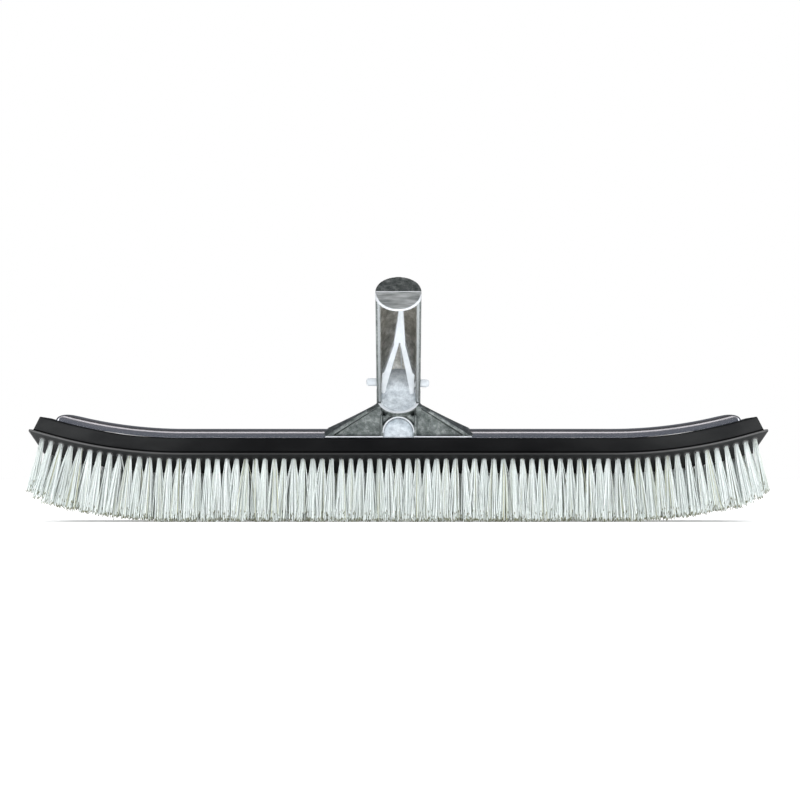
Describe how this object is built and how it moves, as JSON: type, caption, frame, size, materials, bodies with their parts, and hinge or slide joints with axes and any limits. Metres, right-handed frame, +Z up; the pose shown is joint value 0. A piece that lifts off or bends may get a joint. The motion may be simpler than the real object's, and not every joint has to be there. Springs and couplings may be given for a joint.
{
  "type": "pool wall brush",
  "caption": "Curved pool wall brush with rows of pale bristles in a black block, an aluminium back rail and a forward-leaning cast handle socket with a snap-button clip.",
  "frame": {"origin": "centre of the flat face that the bristle tips make", "axes": "+X along the brush, -Y towards the side the handle leans to, +Z up from the bristle tips towards the handle"},
  "size_m": [0.4662, 0.1032, 0.1497],
  "materials": {
    "black_plastic": "moulded black polypropylene, satin",
    "polished_aluminium": "polished, rounded bar",
    "cast_aluminium": "as-cast, matt, slightly mottled; end face machined",
    "bristle": "pale extruded bristle filament",
    "stainless": "stainless pan head screws",
    "white_nylon": "white moulded nylon, satin"
  },
  "bodies": {
    "brush": {"brush_block": "black_plastic", "back_rail": "polished_aluminium", "handle_casting": "cast_aluminium", "bristle_row_1": "bristle", "bristle_row_2": "bristle", "bristle_row_3": "bristle", "bristle_row_4": "bristle", "bristle_row_5": "bristle", "handle_screw_left": "stainless", "handle_screw_right": "stainless", "rail_screw_1": "stainless", "rail_screw_2": "stainless", "rail_screw_3": "stainless", "rail_screw_4": "stainless", "clip_crown": "white_nylon"},
    "button_leg_left": {"clip_leg_left": "white_nylon"},
    "button_leg_right": {"clip_leg_right": "white_nylon"}
  },
  "joints": [
    {"name": "left_button_press", "type": "hinge", "parent": "brush", "child": "button_leg_left", "pos_m": [-0.0019, -0.03815, 0.11167], "axis": [0, -0.7071, -0.7071], "range_deg": [0, 9.5], "stiffness_Nm_per_rad": 4.5},
    {"name": "right_button_press", "type": "hinge", "parent": "brush", "child": "button_leg_right", "pos_m": [0.0019, -0.03815, 0.11167], "axis": [0, 0.7071, 0.7071], "range_deg": [0, 9.5], "stiffness_Nm_per_rad": 4.5}
  ]
}
